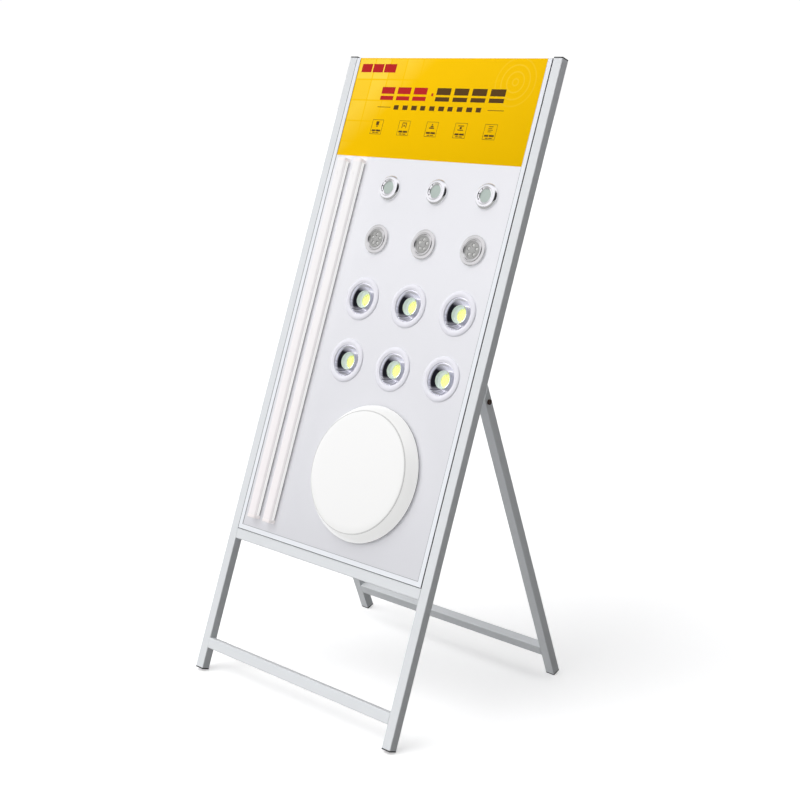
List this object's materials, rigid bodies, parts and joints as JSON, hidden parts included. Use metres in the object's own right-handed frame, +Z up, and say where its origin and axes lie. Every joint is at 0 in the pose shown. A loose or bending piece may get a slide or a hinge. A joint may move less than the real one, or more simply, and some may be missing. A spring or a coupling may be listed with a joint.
{
  "type": "folding a-frame display stand",
  "caption": "Folding easel stand of square steel tube: a leaning front frame holds a display board of sample lamps under a printed header, with a hinged rear leg frame.",
  "frame": {"origin": "on the floor, at the middle of the open stand's bounding box", "axes": "+X across the stand to the viewer's right, -Y towards the viewer of the board, +Z up"},
  "size_m": [0.6596, 0.5934, 1.4483],
  "materials": {
    "frame_paint": "light grey gloss powder coat",
    "plug_plastic": "moulded black plastic",
    "black_oxide": "black oxide on steel",
    "zinc_plate": "bright zinc plate",
    "channel_finish": "pale extruded edge channel",
    "board_laminate": "printed film on foam board, pale grey",
    "header_print": "printed film, warm yellow",
    "white_plastic": "moulded white plastic",
    "circuit_board": "white solder mask",
    "diffuser_plastic": "opal diffuser",
    "spring_steel": "spring steel",
    "chrome_plate": "polished chrome plate",
    "frosted_glass": "frosted",
    "satin_metal": "turned satin nickel",
    "lens_plastic": "clear lenses in a grey plate",
    "cast_aluminium": "as cast",
    "white_lamp_paint": "gloss white",
    "mirror_reflector": "bright anodised",
    "phosphor": "yellow phosphor"
  },
  "bodies": {
    "front_frame": {"left_upright": "frame_paint", "right_upright": "frame_paint", "top_rail": "frame_paint", "panel_rail": "frame_paint", "lower_rail": "frame_paint", "hinge_ears": "frame_paint", "top_plugs": "plug_plastic", "front_foot_plugs": "plug_plastic", "pivot_bolts": "black_oxide", "pivot_washers": "zinc_plate", "pivot_nuts": "zinc_plate", "left_channel": "channel_finish", "right_channel": "channel_finish", "bottom_channel": "channel_finish", "channel_rivets": "zinc_plate", "display_board": "board_laminate", "header_sheet": "header_print", "batten_housings": "white_plastic", "batten_led_strips": "circuit_board", "batten_covers": "diffuser_plastic", "batten_end_caps": "white_plastic", "batten_clips": "spring_steel", "clip_screws": "zinc_plate", "puck_bodies": "chrome_plate", "puck_windows": "frosted_glass", "puck_led_plates": "circuit_board", "puck_screws": "zinc_plate", "spot_bezels": "satin_metal", "spot_lens_plates": "lens_plastic", "spot_heat_sinks": "cast_aluminium", "spot_springs": "spring_steel", "downlight_flanges": "white_lamp_paint", "downlight_reflectors": "mirror_reflector", "downlight_lenses": "frosted_glass", "downlight_cobs": "phosphor", "downlight_heat_sinks": "cast_aluminium", "downlight_springs": "spring_steel", "ceiling_base": "white_lamp_paint", "ceiling_led_panel": "circuit_board", "ceiling_diffuser": "diffuser_plastic", "ceiling_screws": "zinc_plate"},
    "rear_frame": {"rear_leg_left": "frame_paint", "rear_leg_right": "frame_paint", "rear_crossbar": "frame_paint", "rear_foot_plugs": "plug_plastic"}
  },
  "joints": [
    {"name": "leg_fold", "type": "hinge", "parent": "front_frame", "child": "rear_frame", "pos_m": [0, 0.01114, 0.72108], "axis": [-1, 0, 0], "range_deg": [0, 41.5]}
  ]
}
